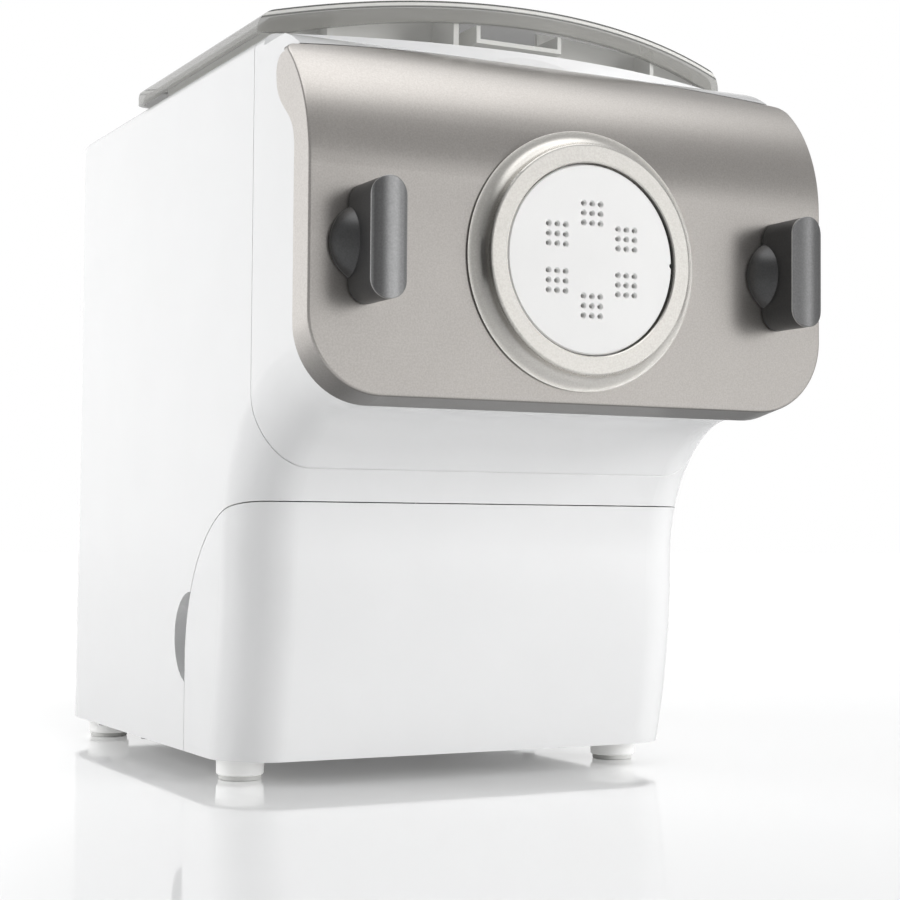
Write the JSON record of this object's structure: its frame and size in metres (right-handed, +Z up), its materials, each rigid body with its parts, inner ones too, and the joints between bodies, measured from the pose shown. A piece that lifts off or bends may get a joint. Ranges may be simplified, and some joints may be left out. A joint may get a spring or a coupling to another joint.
{
  "type": "electric pasta maker",
  "caption": "Electric pasta maker that mixes dough under a hinged lid and presses it forwards through a shaping disc, with a pull-out disc drawer.",
  "frame": {"origin": "On the floor under the middle of the machine's bounding box", "axes": "+Z up; the front with the shaping disc faces -Y; +X is on the right of someone facing the front"},
  "size_m": [0.208, 0.3315, 0.288],
  "materials": {
    "white_shell": "glossy injection-moulded plastic",
    "champagne_fascia": "fine metallic champagne lacquer, satin",
    "champagne_ring": "light metallic champagne lacquer, satin",
    "dark_grip": "satin dark grey plastic",
    "white_disc": "satin white acetal",
    "smoky_lid": "clear smoke-grey polycarbonate",
    "white_inner": "satin white plastic",
    "steel_trough": "brushed stainless steel",
    "black_base": "fine-grained black plastic",
    "pale_foot": "satin pale grey plastic",
    "pale_rubber": "soft pale grey rubber",
    "rubber": "soft grey rubber",
    "panel_grey": "satin grey plastic",
    "display": "dark tinted window",
    "button_grey": "satin light grey plastic",
    "steel": "machined steel",
    "bronze": "sintered bronze",
    "gear_nylon": "natural nylon",
    "pinion_steel": "cut steel",
    "gearcase": "glass-filled dark grey nylon",
    "motor_steel": "zinc-plated steel",
    "laminations": "stacked steel laminations",
    "circuit_board": "green circuit board with parts",
    "magnet_steel": "nickel-plated magnet",
    "switch_plastic": "black potted switch"
  },
  "bodies": {
    "root": {"main_housing": "white_shell", "front_frame": "white_shell", "rear_cover": "white_shell", "front_fascia": "champagne_fascia", "shaping_disc": "white_disc", "chamber_door": "white_inner", "extruding_tube": "white_inner", "front_bulkhead": "white_inner", "mixing_chamber": "steel_trough", "mains_inlet": "black_base", "feet": "pale_foot", "base_plate": "pale_foot", "foot_pads": "pale_rubber", "chamber_seal": "rubber", "disc_seal": "rubber", "shaft_seal": "rubber", "control_panel": "panel_grey", "display_window": "display", "idler_shaft": "steel", "lid_hinge_pins": "steel", "cover_screws": "steel", "base_screws": "steel", "foot_screws": "steel", "head_screws": "steel", "motor_bearings": "steel", "shaft_bearings": "bronze", "gearbox_housing": "gearcase", "gearbox_cover": "gearcase", "motor_casing": "motor_steel", "power_bracket": "motor_steel", "motor_stator": "laminations", "control_board": "circuit_board", "power_board": "circuit_board", "reed_switch": "switch_plastic"},
    "lid": {"lid_shell": "smoky_lid", "lid_liner": "white_inner", "water_chute": "white_inner", "lid_magnet": "magnet_steel"},
    "drawer": {"drawer_front": "white_shell", "drawer_tray": "white_inner", "spare_discs": "white_disc"},
    "ring": {"die_ring": "champagne_ring"},
    "left_clamp": {"left_knob": "dark_grip", "left_clamp_bolt": "steel"},
    "right_clamp": {"right_knob": "dark_grip", "right_clamp_bolt": "steel"},
    "mixer": {"output_gear": "gear_nylon", "drive_shaft": "steel", "mixing_paddle": "white_inner", "extruding_screw": "white_inner"},
    "idler": {"idler_gear": "gear_nylon"},
    "rotor": {"motor_rotor": "laminations", "motor_shaft": "steel", "motor_pinion": "pinion_steel", "cooling_fan": "gear_nylon"},
    "power_key": {"power_button": "button_grey"},
    "program_key": {"program_button": "button_grey"},
    "start_key": {"start_button": "button_grey"}
  },
  "joints": [
    {"name": "lid_hinge", "type": "hinge", "parent": "root", "child": "lid", "pos_m": [0, 0.0505, 0.276], "axis": [-1, 0, 0], "range_deg": [0, 80]},
    {"name": "drawer_slide", "type": "slide", "parent": "root", "child": "drawer", "axis": [0, -1, 0], "range_m": [0, 0.085]},
    {"name": "ring_turn", "type": "hinge", "parent": "root", "child": "ring", "pos_m": [0, -0.14, 0.189], "axis": [0, -1, 0], "range_deg": [0, 45]},
    {"name": "left_clamp_turn", "type": "hinge", "parent": "root", "child": "left_clamp", "pos_m": [-0.0836, -0.15, 0.189], "axis": [0, -1, 0], "range_deg": [0, 90]},
    {"name": "right_clamp_turn", "type": "hinge", "parent": "root", "child": "right_clamp", "pos_m": [0.0836, -0.15, 0.189], "axis": [0, -1, 0], "range_deg": [-90, 0]},
    {"name": "mixer_spin", "type": "hinge", "parent": "root", "child": "mixer", "pos_m": [0, 0, 0.189], "axis": [0, 1, 0], "continuous": true},
    {"name": "idler_spin", "type": "hinge", "parent": "root", "child": "idler", "pos_m": [0, 0.055, 0.13275], "axis": [0, 1, 0], "continuous": true},
    {"name": "rotor_spin", "type": "hinge", "parent": "root", "child": "rotor", "pos_m": [0, 0.1, 0.09575], "axis": [0, 1, 0], "continuous": true},
    {"name": "power_press", "type": "slide", "parent": "root", "child": "power_key", "axis": [-1, 0, 0], "range_m": [0, 0.0015], "stiffness_N_per_m": 400},
    {"name": "program_press", "type": "slide", "parent": "root", "child": "program_key", "axis": [-1, 0, 0], "range_m": [0, 0.0015], "stiffness_N_per_m": 400},
    {"name": "start_press", "type": "slide", "parent": "root", "child": "start_key", "axis": [-1, 0, 0], "range_m": [0, 0.0015], "stiffness_N_per_m": 400}
  ],
  "couplings": [
    {"joint": "idler_spin", "follows": "mixer_spin", "ratio": -5},
    {"joint": "rotor_spin", "follows": "mixer_spin", "ratio": 21.429}
  ]
}
